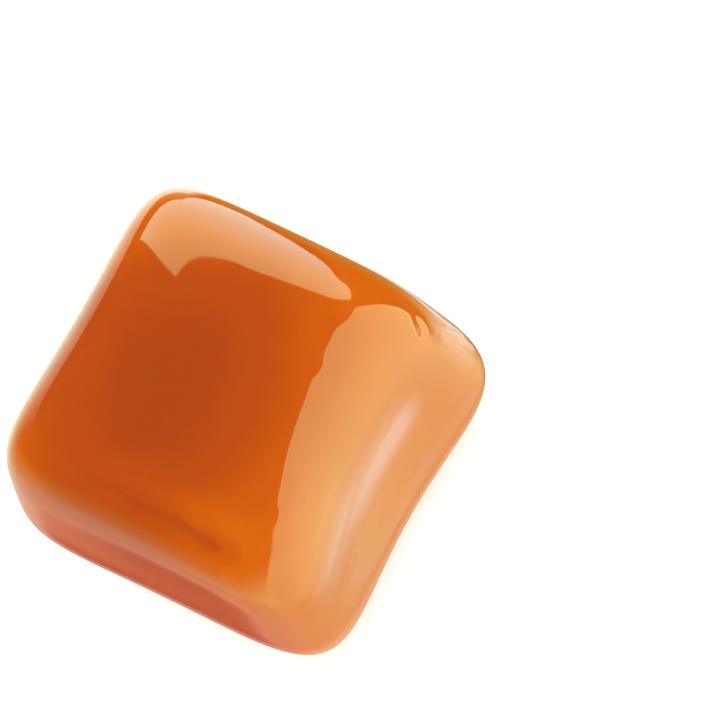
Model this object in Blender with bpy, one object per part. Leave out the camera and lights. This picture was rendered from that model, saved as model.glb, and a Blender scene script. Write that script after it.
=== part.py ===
"""Butterscotch sweet: one cut block of soft boiled sugar, lying on its back face.

The block was cut square and then slumped: its foot spread past its top face, its corners
softened into rounds, and its sides drew in a little between the corners. The form is a
cube whose grid is rounded as a superellipse, stretched over eight named corner places and
then drawn in at the sides.
"""
import math

import bmesh
import bpy
from mathutils import Vector

MM = 0.001

# Driving dimensions, in millimetres. +X is the block's right, +Y its back, +Z up.
HEIGHT = 15.9          # full height, before the resting spot is pressed flat
REST_DEPTH = 0.3       # how much of the rounded underside the resting spot takes up
TOP_FALL = 0.5         # how far the top face falls away from its middle to its front and back
RIGHT_WAIST = 0.9      # how far the right side draws in at half its height
TOP_HOLLOW = 1.15      # how far the right side draws in between its corners, at the top
FOOT_HOLLOW = 1.45     # the same at the foot
LEFT_HOLLOW = 0.35     # how far the left side draws in between its corners
FRONT_HOLLOW = 0.35    # how far the front does; the back is straight

# The superellipse powers of the rounding from each side up to the top face, and from all
# the sides down to the foot: a low one is a fuller round.
TOP_SQUARENESS = {"left": 4.7, "right": 3.4, "front": 6.3, "back": 5.6}
FOOT_SQUARENESS = 3.5

# Where each corner would stand with no rounding, at the top face and at the foot, and the
# superellipse power of that corner's rounding in plan.
CORNERS = {
    "front_left": {"side": (-1, -1), "top": (-9.45, -8.55), "foot": (-11.95, -10.30), "squareness": 5.8},
    "front_right": {"side": (1, -1), "top": (10.75, -9.50), "foot": (10.50, -10.40), "squareness": 4.2},
    "back_left": {"side": (-1, 1), "top": (-9.00, 9.15), "foot": (-9.75, 11.10), "squareness": 6.5},
    "back_right": {"side": (1, 1), "top": (8.05, 8.60), "foot": (11.70, 10.25), "squareness": 4.9},
}

CELLS = 24             # squares of the grid along each edge of a face
EDGE_GATHER = 0.35     # how much closer together the grid's lines lie near the edges

CANDY_COLOUR = (0.62, 0.15, 0.012, 1.0)
CANDY_ROUGHNESS = 0.12


def clear_scene():
    for old in list(bpy.data.objects):
        bpy.data.objects.remove(old, do_unlink=True)


def candy_material():
    material = bpy.data.materials.new("butterscotch")
    material.use_nodes = True
    shader = material.node_tree.nodes["Principled BSDF"]
    shader.inputs["Base Color"].default_value = CANDY_COLOUR
    shader.inputs["Roughness"].default_value = CANDY_ROUGHNESS
    shader.inputs["Metallic"].default_value = 0.0
    material.diffuse_color = CANDY_COLOUR
    return material


def gather(share):
    """Moves a grid line, counted from -1 to 1, towards the nearer edge."""
    return share + EDGE_GATHER * math.sin(math.pi * share) / math.pi


def corner_of(u, v):
    side = (1 if u >= 0.0 else -1, 1 if v >= 0.0 else -1)
    return next(corner for corner in CORNERS.values() if corner["side"] == side)


def top_squareness(u, v):
    """The power of the rounding under the top face, blended from one side to the next."""
    sideways = u * u / (u * u + v * v) if u or v else 0.5
    across = TOP_SQUARENESS["right" if u >= 0.0 else "left"]
    along = TOP_SQUARENESS["back" if v >= 0.0 else "front"]
    return sideways * across + (1.0 - sideways) * along


def rounded(u, v, w):
    """Rounds a point of the cube from -1 to 1: first in plan, then from side to top."""
    plan_power = corner_of(u, v)["squareness"]
    plan = (abs(u) ** plan_power + abs(v) ** plan_power) ** (1.0 / plan_power)
    power = top_squareness(u, v) if w >= 0.0 else FOOT_SQUARENESS
    reach = (plan ** power + abs(w) ** power) ** (1.0 / power)
    return u / reach, v / reach, w / reach


def placed(u, v, w):
    """Stretches a rounded point over the eight corner places and draws the sides in."""
    down = (1.0 - w) / 2.0
    x = 0.0
    y = 0.0
    for corner in CORNERS.values():
        side_x, side_y = corner["side"]
        share = (1.0 + side_x * u) * (1.0 + side_y * v) / 4.0
        x += share * (corner["top"][0] * (1.0 - down) + corner["foot"][0] * down)
        y += share * (corner["top"][1] * (1.0 - down) + corner["foot"][1] * down)
    right = max(u, 0.0) ** 2 * (1.0 - v * v)
    left = min(u, 0.0) ** 2 * (1.0 - v * v)
    front = min(v, 0.0) ** 2 * (1.0 - u * u)
    x -= right * (RIGHT_WAIST * (1.0 - w * w) + TOP_HOLLOW * (1.0 - down) + FOOT_HOLLOW * down)
    x += left * LEFT_HOLLOW
    y += front * FRONT_HOLLOW
    z = HEIGHT * (w + 1.0) / 2.0 - TOP_FALL * max(w, 0.0) ** 2 * v * v
    return x, y, max(z - REST_DEPTH, 0.0)


def block_mesh():
    """A cube's grid, with each of its points moved to the block's own surface."""
    grid = bmesh.new()
    bmesh.ops.create_cube(grid, size=2.0)
    bmesh.ops.subdivide_edges(grid, edges=grid.edges[:], cuts=CELLS - 1, use_grid_fill=True)
    for vertex in grid.verts:
        u, v, w = (gather(share) for share in vertex.co)
        vertex.co = Vector(placed(*rounded(u, v, w))) * MM
    bmesh.ops.triangulate(grid, faces=grid.faces[:])

    lowest = [min(vertex.co[axis] for vertex in grid.verts) for axis in range(2)]
    highest = [max(vertex.co[axis] for vertex in grid.verts) for axis in range(2)]
    middle = Vector(((lowest[0] + highest[0]) / 2.0, (lowest[1] + highest[1]) / 2.0, 0.0))
    bmesh.ops.translate(grid, verts=grid.verts[:], vec=-middle)

    mesh = bpy.data.meshes.new("butterscotch_block")
    grid.to_mesh(mesh)
    grid.free()
    mesh.shade_smooth()
    return mesh


def build():
    clear_scene()
    collection = bpy.data.collections.new("butterscotch_sweet")
    bpy.context.scene.collection.children.link(collection)
    block = bpy.data.objects.new("butterscotch_block", block_mesh())
    block.data.materials.append(candy_material())
    collection.objects.link(block)


build()
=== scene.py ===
import math

import bmesh
import bpy
import numpy as np
from mathutils import Euler, Matrix, Vector


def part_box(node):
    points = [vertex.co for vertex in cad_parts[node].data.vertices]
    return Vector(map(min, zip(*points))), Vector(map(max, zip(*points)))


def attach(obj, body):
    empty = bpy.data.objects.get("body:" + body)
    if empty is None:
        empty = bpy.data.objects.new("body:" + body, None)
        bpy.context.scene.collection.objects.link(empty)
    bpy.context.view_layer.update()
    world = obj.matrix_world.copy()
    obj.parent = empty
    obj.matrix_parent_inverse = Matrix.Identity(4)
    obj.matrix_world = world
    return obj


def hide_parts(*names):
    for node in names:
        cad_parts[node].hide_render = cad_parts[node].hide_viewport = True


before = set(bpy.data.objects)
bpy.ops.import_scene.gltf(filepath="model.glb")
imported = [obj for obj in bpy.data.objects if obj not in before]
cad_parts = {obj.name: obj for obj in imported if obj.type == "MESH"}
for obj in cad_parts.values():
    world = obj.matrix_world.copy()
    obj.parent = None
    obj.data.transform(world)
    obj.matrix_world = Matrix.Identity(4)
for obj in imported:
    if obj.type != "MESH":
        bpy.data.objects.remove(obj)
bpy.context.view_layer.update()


# The sweet: one square of butterscotch, boiled sugar and butter poured into a slab, cut with
# a blade while warm and left to slump. Its foot has spread, its corners have gone round, and
# its sides are drawn in a little between them.

MM = 0.001

# In millimetres: the height before the underside is pressed flat, how deep that goes, how far the
# top falls away to its front and back, and how far the sides draw in.
HEIGHT = 15.9
REST_DEPTH = 0.3
TOP_FALL = 0.5
RIGHT_WAIST = 0.9
TOP_HOLLOW = 1.15
FOOT_HOLLOW = 1.45
LEFT_HOLLOW = 0.35
FRONT_HOLLOW = 0.35

# The powers of the rounding, where a low one is a fuller round: from each side up to the top, and
# from the sides down to the foot. Each corner has its own in plan, and the places in millimetres
# where it would stand at the top and at the foot with no rounding.
TOP_SQUARENESS = {"left": 4.7, "right": 3.4, "front": 6.3, "back": 5.6}
FOOT_SQUARENESS = 3.5
CORNERS = {
    "front_left": {"side": (-1, -1), "top": (-9.45, -8.55), "foot": (-11.95, -10.30), "squareness": 5.8},
    "front_right": {"side": (1, -1), "top": (10.75, -9.50), "foot": (10.50, -10.40), "squareness": 4.2},
    "back_left": {"side": (-1, 1), "top": (-9.00, 9.15), "foot": (-9.75, 11.10), "squareness": 6.5},
    "back_right": {"side": (1, 1), "top": (8.05, 8.60), "foot": (11.70, 10.25), "squareness": 4.9},
}

# The squares of the grid along each edge of a face, and how far its lines gather at the edges.
CELLS = 120
EDGE_GATHER = 0.35


def cube_grid(cells):
    """A cube from -1 to 1 with a square grid on each face, its lines gathered at the edges."""
    grid = bmesh.new()
    bmesh.ops.create_cube(grid, size=2.0)
    bmesh.ops.subdivide_edges(grid, edges=grid.edges[:], cuts=cells - 1, use_grid_fill=True)
    mesh = bpy.data.meshes.new("butterscotch")
    grid.to_mesh(mesh)
    grid.free()
    points = np.empty(len(mesh.vertices) * 3)
    mesh.vertices.foreach_get("co", points)
    points = points + EDGE_GATHER * np.sin(math.pi * points) / math.pi
    return mesh, points.reshape(-1, 3)


def rounded(cube):
    """Rounds the cube's points: first the corners in plan, then from the sides up to the top."""
    u, v, w = cube.T
    plan_power = np.zeros(len(cube))
    for corner in CORNERS.values():
        side_x, side_y = corner["side"]
        here = (np.where(u >= 0, 1, -1) == side_x) & (np.where(v >= 0, 1, -1) == side_y)
        plan_power[here] = corner["squareness"]
    plan = (abs(u) ** plan_power + abs(v) ** plan_power) ** (1 / plan_power)
    sideways = u * u / np.maximum(u * u + v * v, 1e-12)
    across = np.where(u >= 0, TOP_SQUARENESS["right"], TOP_SQUARENESS["left"])
    along = np.where(v >= 0, TOP_SQUARENESS["back"], TOP_SQUARENESS["front"])
    power = np.where(w >= 0, sideways * across + (1 - sideways) * along, FOOT_SQUARENESS)
    reach = (plan ** power + abs(w) ** power) ** (1 / power)
    return cube / reach[:, None]


def slumped(soft):
    """Stretches the rounded points over the eight corners and draws the sides in."""
    u, v, w = soft.T
    down = (1 - w) / 2
    x = np.zeros(len(soft))
    y = np.zeros(len(soft))
    for corner in CORNERS.values():
        side_x, side_y = corner["side"]
        share = (1 + side_x * u) * (1 + side_y * v) / 4
        x += share * (corner["top"][0] * (1 - down) + corner["foot"][0] * down)
        y += share * (corner["top"][1] * (1 - down) + corner["foot"][1] * down)
    right = np.maximum(u, 0) ** 2 * (1 - v * v)
    left = np.minimum(u, 0) ** 2 * (1 - v * v)
    front = np.minimum(v, 0) ** 2 * (1 - u * u)
    x -= right * (RIGHT_WAIST * (1 - w * w) + TOP_HOLLOW * (1 - down) + FOOT_HOLLOW * down)
    x += left * LEFT_HOLLOW
    y += front * FRONT_HOLLOW
    z = HEIGHT * (w + 1) / 2 - TOP_FALL * np.maximum(w, 0) ** 2 * v * v
    return np.stack([x, y, np.maximum(z - REST_DEPTH, 0)], 1)


def fit_to(points, low, high):
    """Lays the points in the frame's box, end to end along each axis."""
    span = (np.array(high) - np.array(low)) / (points.max(0) - points.min(0))
    return np.array(low) + (points - points.min(0)) * span


# What handling left on the warm sugar. Each mark follows a path in millimetres. It is pressed in
# to its depth, or swollen out where that is below zero. Some are also painted: lighter with
# painted light, and darker with painted shade where that is below zero.
MARKS = {
    "pressed shoulder": {
        "path": [(5.85, 2.6, 15.3), (6.05, 4.4, 15.2)],
        "width": 1.25, "depth": 0.13, "painted_light_and_shade": 0.0,
    },
    "soft back of the shoulder": {
        "path": [(4.3, 6.8, 15.3), (4.5, 7.2, 15.2)],
        "width": 0.9, "depth": 0.05, "painted_light_and_shade": 0.0,
    },
    "full middle of the right edge": {
        "path": [(6.85, -1.4, 15.2), (6.85, -2.9, 15.2)],
        "width": 1.0, "depth": -0.035, "painted_light_and_shade": 0.0,
    },
    "nick by the shoulder": {
        "path": [(5.17, 2.2, 15.6), (5.17, 2.35, 15.6)],
        "width": 0.35, "depth": 0.035, "painted_light_and_shade": 0.0,
    },
    "nick at the right edge": {
        "path": [(6.87, -5.15, 15.35), (6.87, -5.35, 15.35)],
        "width": 0.35, "depth": 0.03, "painted_light_and_shade": 0.0,
    },
    "dimple after the nick": {
        "path": [(7.67, -5.85, 15.1), (7.67, -6.05, 15.1)],
        "width": 0.4, "depth": 0.012, "painted_light_and_shade": 0.0,
    },
    # Painted light: the swelling is painted lighter.
    "swelling behind the fold": {
        "path": [(-1.0, -6.6, 15.5), (1.9, -6.5, 15.5), (3.9, -6.65, 15.45), (5.3, -6.8, 15.4)],
        "width": 0.9, "depth": -0.04, "painted_light_and_shade": 0.22,
    },
    # Painted shade: the fold's crease and the two marks after it are painted darker.
    "fold near the front": {
        "path": [
            (-1.3, -7.35, 15.2), (0.3, -7.65, 15.1), (1.8, -7.6, 15.15), (3.6, -7.75, 15.1),
            (4.9, -7.9, 15.0),
        ],
        "width": 0.25, "depth": 0.03, "painted_light_and_shade": -0.9,
    },
    "fold's open end": {
        "path": [(4.7, -7.95, 15.0), (5.6, -8.0, 14.95)],
        "width": 0.7, "depth": 0.02, "painted_light_and_shade": -0.35,
    },
    "fold's faint start": {
        "path": [(-3.4, -7.35, 15.1), (-1.8, -7.5, 15.1)],
        "width": 0.3, "depth": 0.02, "painted_light_and_shade": -0.25,
    },
    "pit at the back corner": {
        "path": [(8.1, 7.3, 12.4), (8.25, 6.95, 11.9)],
        "width": 0.35, "depth": 0.08, "painted_light_and_shade": 0.0,
    },
}

# Painted highlights, whitish fine lines along where the sugar was drawn out thin: a path in
# millimetres, its width, how white it gets, and how wide, deep and high one line is.
PAINTED_HIGHLIGHTS = {
    "streak along the right side": {
        "path": [
            (8.3, 2.4, 9.5), (8.35, 0.3, 9.7), (8.7, -1.85, 10.1), (8.8, -3.5, 10.7),
            (8.8, -5.4, 10.6),
        ],
        "width": 1.5, "white": 0.46, "line": (2.0, 20.0, 1.6),
    },
    "back right corner": {
        "path": [(8.2, 8.25, 10.0), (9.1, 8.2, 7.0)],
        "width": 1.1, "white": 0.33, "line": (0.5, 0.5, 6.0),
    },
}


def off_path(points, path):
    """How far each point lies from a path of straight runs."""
    nearest = np.full(len(points), np.inf)
    for start, end in zip(path, path[1:]):
        run = end - start
        along = np.clip((points - start) @ run / (run @ run), 0, 1)
        nearest = np.minimum(nearest, np.linalg.norm(points - start - along[:, None] * run, axis=1))
    return nearest


def nearness(points, mark):
    """1 on a mark's path, falling away over its width."""
    return np.exp(-((off_path(points, np.array(mark["path"]) * MM) / (mark["width"] * MM)) ** 2))


def marked(points, normals):
    """Presses the marks in along the surface's normals, and sums their painted light and shade."""
    pressed = points.copy()
    painted_light_and_shade = np.zeros(len(points))
    for mark in MARKS.values():
        near = nearness(points, mark)
        pressed -= normals * (near * mark["depth"] * MM)[:, None]
        painted_light_and_shade += near * mark["painted_light_and_shade"]
    return pressed, painted_light_and_shade


mesh, cube = cube_grid(CELLS)
soft = rounded(cube)
points = fit_to(slumped(soft), *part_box("butterscotch_block"))
mesh.vertices.foreach_set("co", points.ravel())
mesh.update()
normals = np.empty(len(mesh.vertices) * 3)
mesh.vertex_normals.foreach_get("vector", normals)
points, painted_light_and_shade = marked(points, normals.reshape(-1, 3))
mesh.vertices.foreach_set("co", points.ravel())
# The marks' painted light and shade goes onto the points.
mesh.attributes.new("painted_light_and_shade", "FLOAT", "POINT").data.foreach_set("value", painted_light_and_shade)
# How near each point lies to the painted highlights.
for name, mark in PAINTED_HIGHLIGHTS.items():
    mesh.attributes.new(name, "FLOAT", "POINT").data.foreach_set("value", nearness(points, mark))
mesh.update()
mesh.shade_smooth()
sweet = bpy.data.objects.new("butterscotch", mesh)
bpy.context.collection.objects.link(sweet)

# The sugar's amber colour with painted light in it: darker at the heart at 0, painted brighter out to
# the edges at 1, where light would shine through the thin sugar.
SUGAR_AND_GLOW_COLOURS = [
    (0.0, (0.404, 0.063, 0.0092)),
    (0.4, (0.462, 0.076, 0.0070)),
    (0.8, (0.570, 0.110, 0.0052)),
    (1.0, (0.618, 0.133, 0.0062)),
]
# Where the painted light lies: the middle and size of the darker heart, and where the painted glow of
# the edges begins and is full.
HEART_MIDDLE = (-1.1 * MM, -1.5 * MM, 12.5 * MM)
HEART_SIZE = (7.5 * MM, 8.5 * MM, 5.5 * MM)
HEART_EDGE = 0.55
EDGE_GLOW_FULL = 1.3
CLOUD_SIZE = 6.0 * MM
CLOUD_DETAIL = 4.0
CLOUD_STRENGTH = 0.3
# The painted highlights' colour, and where in their streaks they begin and are full.
HIGHLIGHT_COLOUR = (0.78, 0.48, 0.46)
HIGHLIGHT_FROM = 0.05
HIGHLIGHT_FULL = 0.55
SUGAR_ROUGHNESS = 0.02
SUGAR_IOR = 1.5
GLOW_DEPTH = 0.8 * MM
GLOW_REACH = (1.0, 0.35, 0.1)

# The fine streaks of the pulled sugar and their relief: how high and how large one is, how far
# across those of the right side begin and are full, and where the pleats of its back corner lie,
# and within what share of their reach they are full.
STREAK_DETAIL = 2.0
PULL_HEIGHT = 0.02 * MM
PULL_SIZE = (0.9 * MM, 9.0 * MM, 0.7 * MM)
PULL_FROM = 7.0 * MM
PULL_FULL = 8.6 * MM
PLEAT_HEIGHT = 0.1 * MM
PLEAT_SIZE = (0.5 * MM, 0.5 * MM, 6.0 * MM)
PLEAT_MIDDLE = (8.7 * MM, 8.3 * MM, 8.4 * MM)
PLEAT_REACH = (1.8 * MM, 1.8 * MM, 4.5 * MM)
PLEAT_FULL = 0.3


def spread_from(nodes, link, place, middle, size):
    """How far a point lies from the middle of an egg of the given size, counted in that size."""
    offset = nodes.new("ShaderNodeVectorMath")
    offset.operation = "SUBTRACT"
    offset.inputs[1].default_value = middle
    link(place, offset.inputs[0])
    scaled = nodes.new("ShaderNodeVectorMath")
    scaled.operation = "DIVIDE"
    scaled.inputs[1].default_value = size
    link(offset.outputs["Vector"], scaled.inputs[0])
    length = nodes.new("ShaderNodeVectorMath")
    length.operation = "LENGTH"
    link(scaled.outputs["Vector"], length.inputs[0])
    return length.outputs["Value"]


def streaks(nodes, link, place, size, share):
    """Streaks of the given size, from 0 to 1, as strong as their share of the surface."""
    scaled = nodes.new("ShaderNodeVectorMath")
    scaled.operation = "DIVIDE"
    scaled.inputs[1].default_value = size
    link(place, scaled.inputs[0])
    noise = nodes.new("ShaderNodeTexNoise")
    noise.inputs["Scale"].default_value = 1.0
    noise.inputs["Detail"].default_value = STREAK_DETAIL
    link(scaled.outputs["Vector"], noise.inputs["Vector"])
    kept = nodes.new("ShaderNodeMath")
    kept.operation = "MULTIPLY"
    link(noise.outputs["Fac"], kept.inputs[0])
    link(share, kept.inputs[1])
    return kept.outputs["Value"]


def pulled_surface(nodes, link, place):
    """The fine relief of the pulled sugar: streaks along the right side, pleats at its corner."""
    across = nodes.new("ShaderNodeSeparateXYZ")
    link(place, across.inputs["Vector"])
    side = nodes.new("ShaderNodeMapRange")
    side.inputs["From Min"].default_value = PULL_FROM
    side.inputs["From Max"].default_value = PULL_FULL
    link(across.outputs["X"], side.inputs["Value"])
    pulls = streaks(nodes, link, place, PULL_SIZE, side.outputs["Result"])

    corner = nodes.new("ShaderNodeMapRange")
    corner.interpolation_type = "SMOOTHSTEP"
    corner.inputs["From Min"].default_value = 1.0
    corner.inputs["From Max"].default_value = PLEAT_FULL
    link(spread_from(nodes, link, place, PLEAT_MIDDLE, PLEAT_REACH), corner.inputs["Value"])
    pleats = streaks(nodes, link, place, PLEAT_SIZE, corner.outputs["Result"])

    both = nodes.new("ShaderNodeMath")
    both.operation = "MULTIPLY_ADD"
    both.inputs[1].default_value = PULL_HEIGHT / PLEAT_HEIGHT
    link(pulls, both.inputs[0])
    link(pleats, both.inputs[2])
    bump = nodes.new("ShaderNodeBump")
    bump.inputs["Distance"].default_value = PLEAT_HEIGHT
    link(both.outputs["Value"], bump.inputs["Height"])
    return bump.outputs["Normal"]


def sugar_material():
    """Cooked sugar: amber with faint clouds, painted shade in its heart, a painted glow of brighter
    orange at the edges, and painted highlights in whitish streaks.
    """
    material = bpy.data.materials.new("butterscotch sugar")
    material.use_nodes = True
    nodes = material.node_tree.nodes
    link = material.node_tree.links.new
    place = nodes.new("ShaderNodeTexCoord").outputs["Object"]

    clouds = nodes.new("ShaderNodeTexNoise")
    clouds.inputs["Scale"].default_value = 1 / CLOUD_SIZE
    clouds.inputs["Detail"].default_value = CLOUD_DETAIL
    link(place, clouds.inputs["Vector"])
    cloudy = nodes.new("ShaderNodeMath")
    cloudy.operation = "MULTIPLY_ADD"
    cloudy.inputs[1].default_value = CLOUD_STRENGTH
    cloudy.inputs[2].default_value = -CLOUD_STRENGTH / 2
    link(clouds.outputs["Fac"], cloudy.inputs[0])
    depth = nodes.new("ShaderNodeMath")
    depth.operation = "ADD"
    link(spread_from(nodes, link, place, HEART_MIDDLE, HEART_SIZE), depth.inputs[0])
    link(cloudy.outputs["Value"], depth.inputs[1])

    # Painted light and shade: darker towards the heart, painted brighter towards the edges as if lit
    # through.
    edge_glow = nodes.new("ShaderNodeMapRange")
    edge_glow.inputs["From Min"].default_value = HEART_EDGE
    edge_glow.inputs["From Max"].default_value = EDGE_GLOW_FULL
    link(depth.outputs["Value"], edge_glow.inputs["Value"])
    # The marks' painted light and shade is added to the painted glow.
    marks = nodes.new("ShaderNodeAttribute")
    marks.attribute_name = "painted_light_and_shade"
    glow_and_marks = nodes.new("ShaderNodeMath")
    glow_and_marks.operation = "ADD"
    link(edge_glow.outputs["Result"], glow_and_marks.inputs[0])
    link(marks.outputs["Fac"], glow_and_marks.inputs[1])
    colours = nodes.new("ShaderNodeValToRGB")
    colours.color_ramp.interpolation = "EASE"
    while len(colours.color_ramp.elements) < len(SUGAR_AND_GLOW_COLOURS):
        colours.color_ramp.elements.new(1.0)
    for stop, (position, colour) in zip(colours.color_ramp.elements, SUGAR_AND_GLOW_COLOURS):
        stop.position = position
        stop.color = (*colour, 1.0)
    link(glow_and_marks.outputs["Value"], colours.inputs["Fac"])

    colour = colours.outputs["Color"]
    # Painted highlights: whitish streaks mixed into the colour along their paths.
    for name, mark in PAINTED_HIGHLIGHTS.items():
        reach = nodes.new("ShaderNodeAttribute")
        reach.attribute_name = name
        line_size = [size * MM for size in mark["line"]]
        lines = streaks(nodes, link, place, line_size, reach.outputs["Fac"])
        white = nodes.new("ShaderNodeMapRange")
        white.inputs["From Min"].default_value = HIGHLIGHT_FROM
        white.inputs["From Max"].default_value = HIGHLIGHT_FULL
        white.inputs["To Max"].default_value = mark["white"]
        link(lines, white.inputs["Value"])
        highlighted = nodes.new("ShaderNodeMixRGB")
        highlighted.inputs["Color2"].default_value = (*HIGHLIGHT_COLOUR, 1.0)
        link(white.outputs["Result"], highlighted.inputs["Fac"])
        link(colour, highlighted.inputs["Color1"])
        colour = highlighted.outputs["Color"]

    shader = nodes["Principled BSDF"]
    link(colour, shader.inputs["Base Color"])
    link(pulled_surface(nodes, link, place), shader.inputs["Normal"])
    shader.inputs["Roughness"].default_value = SUGAR_ROUGHNESS
    shader.inputs["IOR"].default_value = SUGAR_IOR
    shader.inputs["Subsurface Weight"].default_value = 1.0
    shader.inputs["Subsurface Radius"].default_value = GLOW_REACH
    shader.inputs["Subsurface Scale"].default_value = GLOW_DEPTH
    return material


sweet.data.materials.append(sugar_material())
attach(sweet, "root")
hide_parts("butterscotch_block")


# The table: a plain sheet of white acrylic under the sweet, lit from below so that it stays
# white round it.

TABLE_HALF = 0.6
TABLE_DROP = 0.02 * MM
TABLE_COLOUR = (0.75, 0.75, 0.75, 1.0)
TABLE_GLOW = 0.45

table_mesh = bpy.data.meshes.new("table")
table_form = bmesh.new()
bmesh.ops.create_grid(table_form, x_segments=1, y_segments=1, size=TABLE_HALF)
table_form.to_mesh(table_mesh)
table_form.free()
table = bpy.data.objects.new("table", table_mesh)
bpy.context.collection.objects.link(table)
table.location.z = -TABLE_DROP
white = bpy.data.materials.new("white sheet")
white.use_nodes = True
white_shader = white.node_tree.nodes["Principled BSDF"]
white_shader.inputs["Base Color"].default_value = TABLE_COLOUR
white_shader.inputs["Roughness"].default_value = 1.0
white_shader.inputs["Emission Color"].default_value = (1.0, 1.0, 1.0, 1.0)
white_shader.inputs["Emission Strength"].default_value = TABLE_GLOW
table_mesh.materials.append(white)
table.visible_glossy = False


# The lights: a white room and a wide soft lamp that light the sweet evenly, and round it a tent
# of thin cloth with tinted panels lit from behind, which shows only in its gloss.

ROOM_LIGHT = 0.9
OVERHEAD_HEIGHT = 0.5
OVERHEAD_SIZE = 0.6
OVERHEAD_POWER = 1.6
TENT_RADIUS = 0.6
TENT_ROUNDNESS = 4
BRIGHTEST = 8.0
UP = (0, 90)

# Each panel is what lies on the inner side of all its edges. An edge is the azimuth and elevation
# that its inner side faces, and how many degrees it fades over to each side. The glow is a red,
# green and blue strength at each of some elevations, from the lowest up. A gap is the azimuth and
# elevation of a dark place in the cloth, and how many degrees it is to its rim.
FRONT_GAP = (-144.5, -64.5, 6.3)
BACK_GLOW = [
    (-24, (2.0, 4.0, 3.4)), (0, (2.6, 5.4, 4.4)), (16, (3.3, 5.7, 4.1)), (30, (3.9, 5.7, 3.3)),
    (42, (3.6, 4.9, 2.4)), (54, (2.8, 4.0, 1.8)),
]
RIGHT_GLOW = [
    (-47, (0.0, 0.0, 0.0)), (-36, (1.6, 2.2, 1.0)), (-20, (1.9, 2.9, 1.3)), (0, (2.0, 3.3, 1.6)),
    (15, (2.0, 3.6, 1.7)), (40, (2.2, 4.1, 1.9)), (62, (2.0, 3.8, 1.8)),
]
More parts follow.
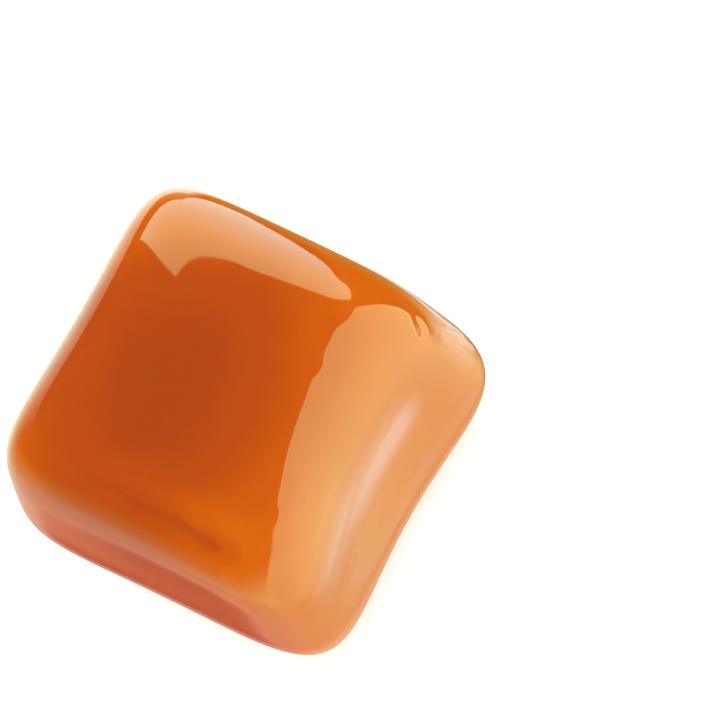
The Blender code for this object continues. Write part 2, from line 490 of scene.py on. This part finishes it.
PANELS = {
    "back left": {
        "edges": [(77.4, -12.9, 0.4), (175.1, -26.8, 0.4), (33.4, 57.3, 1), (-146.5, 0.0, 1)],
        "glow": BACK_GLOW,
    },
    "back right": {
        "edges": [(147.8, -36.0, 0.4), (-164.3, 14.8, 0.4), (32.1, 18.5, 1), (33.5, 0.0, 1)],
        "glow": BACK_GLOW,
    },
    "left": {
        "edges": [(-113.1, -53.7, 1.6), (80.0, 0.0, 28), (-152.2, 6.0, 2.5)],
        "glow": [
            (-66, (0.0, 0.0, 0.0)), (-56, (0.3, 0.35, 0.4)), (-44, (0.6, 0.9, 0.95)),
            (-34, (0.8, 1.3, 1.5)), (-22, (1.4, 2.0, 2.3)), (-12, (2.0, 2.7, 2.6)),
            (0, (2.4, 3.3, 2.6)),
        ],
    },
    "front left": {
        "edges": [(135.0, 0.0, 40), (-152.2, 6.0, 2.5)],
        "glow": [
            (-90, (0.4, 0.3, 0.25)), (-68, (0.5, 0.4, 0.3)), (-58, (0.6, 0.7, 0.5)),
            (-44, (0.9, 1.4, 1.1)), (-26, (0.8, 1.4, 0.9)), (-14, (0.6, 1.15, 0.5)),
            (-4, (0.5, 0.6, 0.15)), (8, (0.0, 0.0, 0.0)),
        ],
        "gap": FRONT_GAP,
    },
    "front": {
        "edges": [(-55.0, 0.0, 20), (178.0, 0.0, 14)],
        "glow": [
            (-56, (0.0, 0.0, 0.0)), (-40, (0.1, 0.25, 0.2)), (-10, (0.0, 0.35, 0.1)),
            (4, (0.0, 0.2, 0.0)), (14, (0.0, 0.0, 0.0)),
        ],
    },
    "front low": {
        "edges": [(-145.0, 0.0, 20)],
        "glow": [(-90, (0.2, 0.0, 0.1)), (-60, (0.2, 0.0, 0.1)), (-48, (0.0, 0.0, 0.0))],
    },
    "back low": {
        "edges": [(110.0, 0.0, 25)],
        "glow": [
            (-70, (0.0, 0.0, 0.0)), (-58, (0.3, 0.4, 0.15)), (-30, (0.3, 0.3, 0.05)),
            (-12, (0.0, 0.0, 0.0)),
        ],
    },
    "right front": {
        "edges": [(10.0, -16.5, 0.4), (-1.5, -18.3, 14), (-110.0, 0.0, 1)],
        "glow": RIGHT_GLOW,
    },
    "right front haze": {
        "edges": [(-170.0, 16.5, 0.4), (0.0, -16.5, 12)],
        "glow": [
            (-47, (0.0, 0.0, 0.0)), (-36, (1.1, 1.9, 0.9)), (-20, (1.3, 2.4, 1.1)),
            (-3, (1.4, 2.7, 1.3)), (8, (1.2, 2.3, 1.1)), (18, (0.9, 1.8, 0.8)),
            (30, (0.6, 1.3, 0.5)), (48, (0.0, 0.0, 0.0)),
        ],
    },
    "right back": {
        "edges": [(10.0, -16.5, 0.4), (-21.4, 13.6, 0.6), (-18.1, 33.0, 1.5), (70.0, 0.0, 1)],
        "glow": RIGHT_GLOW,
    },
    "right back glow": {
        "edges": [(10.0, -16.5, 0.4), (-21.4, 13.6, 0.6), (-18.1, 33.0, 1.5), (70.0, 0.0, 50)],
        "glow": [
            (-47, (0.0, 0.0, 0.0)), (-36, (1.1, 1.5, 0.9)), (-20, (1.3, 1.8, 0.9)),
            (0, (1.4, 1.9, 0.8)), (15, (1.4, 1.6, 0.7)), (30, (1.2, 0.9, 0.5)),
            (45, (0.9, 0.4, 0.3)), (62, (0.2, 0.1, 0.1)),
        ],
    },
    "floor": {
        "edges": [(-10.0, 0.0, 26)],
        "glow": [
            (-90, (1.0, 0.85, 0.5)), (-70, (1.0, 0.9, 0.45)), (-58, (1.1, 1.2, 0.55)),
            (-46, (1.2, 1.5, 0.7)), (-36, (0.0, 0.0, 0.0)),
        ],
        "gap": FRONT_GAP,
    },
    "floor back": {
        "edges": [(85.0, 0.0, 25), (-28.0, 0.0, 12)],
        "glow": [
            (-90, (0.0, 0.1, 0.1)), (-73, (0.0, 0.1, 0.1)), (-65, (0.0, 0.2, 0.15)),
            (-56, (0.3, 0.5, 0.4)), (-47, (0.7, 1.0, 0.7)), (-37, (0.0, 0.0, 0.0)),
        ],
    },
    "floor streak": {
        "edges": [(55.7, 21.9, 2.5), (-123.4, -25.5, 1.3), (-20.0, 0.0, 10)],
        "glow": [
            (-70, (0.0, 0.0, 0.0)), (-66, (0.1, 0.1, 0.2)), (-62, (0.1, 0.2, 0.3)),
            (-58, (0.1, 0.2, 0.3)), (-54, (0.0, 0.1, 0.1)), (-50, (0.0, 0.0, 0.0)),
        ],
    },
    "floor corner": {
        "edges": [(113.1, 27.8, 2), (-65.2, -33.4, 2), (162.0, 0.0, 8)],
        "glow": [
            (-66, (0.0, 0.0, 0.0)), (-61, (0.7, 0.9, 1.0)), (-49, (0.7, 0.9, 1.0)),
            (-44, (0.0, 0.0, 0.0)),
        ],
    },
    "floor middle": {
        "edges": [],
        "glow": [(-90, (0.5, 0.45, 0.2)), (-84, (0.4, 0.4, 0.2)), (-70, (0.0, 0.0, 0.0))],
    },
}


def direction(azimuth, elevation):
    """The way to an azimuth and elevation in degrees, one unit long."""
    azimuth = math.radians(azimuth)
    elevation = math.radians(elevation)
    flat = math.cos(elevation)
    return Vector((math.cos(azimuth) * flat, math.sin(azimuth) * flat, math.sin(elevation)))


def height_along(nodes, link, ray, axis):
    """The sine of the ray's height along an axis."""
    height = nodes.new("ShaderNodeVectorMath")
    height.operation = "DOT_PRODUCT"
    height.inputs[1].default_value = direction(*axis)
    link(ray, height.inputs[0])
    return height.outputs["Value"]


def dimmed(nodes, link, ray, glow, facing, dark, lit):
    """Fades the glow by the ray's height along an axis, from none at dark to full at lit."""
    inside = nodes.new("ShaderNodeMapRange")
    inside.interpolation_type = "SMOOTHSTEP"
    inside.inputs["From Min"].default_value = dark
    inside.inputs["From Max"].default_value = lit
    link(height_along(nodes, link, ray, facing), inside.inputs["Value"])
    cut = nodes.new("ShaderNodeVectorMath")
    cut.operation = "SCALE"
    link(glow, cut.inputs["Vector"])
    link(inside.outputs["Result"], cut.inputs["Scale"])
    return cut.outputs["Vector"]


def panel_glow(nodes, link, ray, panel):
    """The colour of one panel's glow, black outside its edges."""
    share = nodes.new("ShaderNodeMath")
    share.operation = "MULTIPLY_ADD"
    share.inputs[1].default_value = 0.5
    share.inputs[2].default_value = 0.5
    link(height_along(nodes, link, ray, UP), share.inputs[0])
    ramp = nodes.new("ShaderNodeValToRGB")
    while len(ramp.color_ramp.elements) < len(panel["glow"]):
        ramp.color_ramp.elements.new(1.0)
    for stop, (height, strengths) in zip(ramp.color_ramp.elements, panel["glow"]):
        stop.position = (math.sin(math.radians(height)) + 1) / 2
        stop.color = (*(strength / BRIGHTEST for strength in strengths), 1.0)
    link(share.outputs["Value"], ramp.inputs["Fac"])
    glow = ramp.outputs["Color"]
    for azimuth, elevation, fade in panel["edges"]:
        half = math.sin(math.radians(fade))
        glow = dimmed(nodes, link, ray, glow, (azimuth, elevation), -half, half)
    if "gap" in panel:
        azimuth, elevation, rim = panel["gap"]
        glow = dimmed(nodes, link, ray, glow, (azimuth, elevation), 1.0, math.cos(math.radians(rim)))
    return glow


def tent_material():
    """The tent's cloth, which glows with the sum of all the panels."""
    material = bpy.data.materials.new("lit tent cloth")
    material.use_nodes = True
    material.cycles.emission_sampling = "NONE"
    nodes = material.node_tree.nodes
    link = material.node_tree.links.new
    nodes.clear()
    place = nodes.new("ShaderNodeNewGeometry")
    ray = nodes.new("ShaderNodeVectorMath")
    ray.operation = "NORMALIZE"
    link(place.outputs["Position"], ray.inputs[0])
    total = None
    for panel in PANELS.values():
        glow = panel_glow(nodes, link, ray.outputs["Vector"], panel)
        if total is not None:
            both = nodes.new("ShaderNodeVectorMath")
            both.operation = "ADD"
            link(total, both.inputs[0])
            link(glow, both.inputs[1])
            glow = both.outputs["Vector"]
        total = glow
    emission = nodes.new("ShaderNodeEmission")
    emission.inputs["Strength"].default_value = BRIGHTEST
    link(total, emission.inputs["Color"])
    output = nodes.new("ShaderNodeOutputMaterial")
    link(emission.outputs["Emission"], output.inputs["Surface"])
    return material


tent_mesh = bpy.data.meshes.new("light tent")
tent_form = bmesh.new()
bmesh.ops.create_icosphere(tent_form, subdivisions=TENT_ROUNDNESS, radius=TENT_RADIUS)
tent_form.to_mesh(tent_mesh)
tent_form.free()
tent_mesh.materials.append(tent_material())
tent = bpy.data.objects.new("light tent", tent_mesh)
bpy.context.collection.objects.link(tent)
tent.visible_camera = False
tent.visible_diffuse = False
tent.visible_transmission = False
tent.visible_shadow = False

overhead_data = bpy.data.lights.new("overhead", "AREA")
overhead_data.shape = "SQUARE"
overhead_data.size = OVERHEAD_SIZE
overhead_data.energy = OVERHEAD_POWER
overhead = bpy.data.objects.new("overhead", overhead_data)
overhead.location = (0, 0, OVERHEAD_HEIGHT)
overhead.visible_glossy = False
bpy.context.collection.objects.link(overhead)

world = bpy.data.worlds.new("room")
world.use_nodes = True
world.node_tree.nodes["Background"].inputs["Color"].default_value = (1, 1, 1, 1)
world.node_tree.nodes["Background"].inputs["Strength"].default_value = ROOM_LIGHT
world.cycles_visibility.glossy = False
bpy.context.scene.world = world
bpy.context.scene.view_settings.view_transform = "Standard"


# The camera: a long lens about a quarter of a metre away, which looks down on the sweet from its
# front right, with its top rolled over to the right.

CAMERA_AZIMUTH = 60.89
CAMERA_ELEVATION = 67.95
CAMERA_ROLL = -35.08
CAMERA_AIM = Vector((4.584, 5.039, 7.709)) * MM
CAMERA_DISTANCE = 240.0 * MM
CAMERA_LENS = 235.16
CAMERA_SENSOR = 36.0
CAMERA_NEAR = 10.0 * MM

camera_data = bpy.data.cameras.new("camera")
camera_data.sensor_width = CAMERA_SENSOR
camera_data.lens = CAMERA_LENS
camera_data.clip_start = CAMERA_NEAR
camera = bpy.data.objects.new("camera", camera_data)
bpy.context.collection.objects.link(camera)
facing = Euler((math.radians(90 - CAMERA_ELEVATION), 0, math.radians(CAMERA_AZIMUTH))).to_matrix()
facing = facing @ Matrix.Rotation(math.radians(CAMERA_ROLL), 3, "Z")
camera.matrix_world = Matrix.Translation(CAMERA_AIM + facing.col[2] * CAMERA_DISTANCE) @ facing.to_4x4()
bpy.context.scene.camera = camera
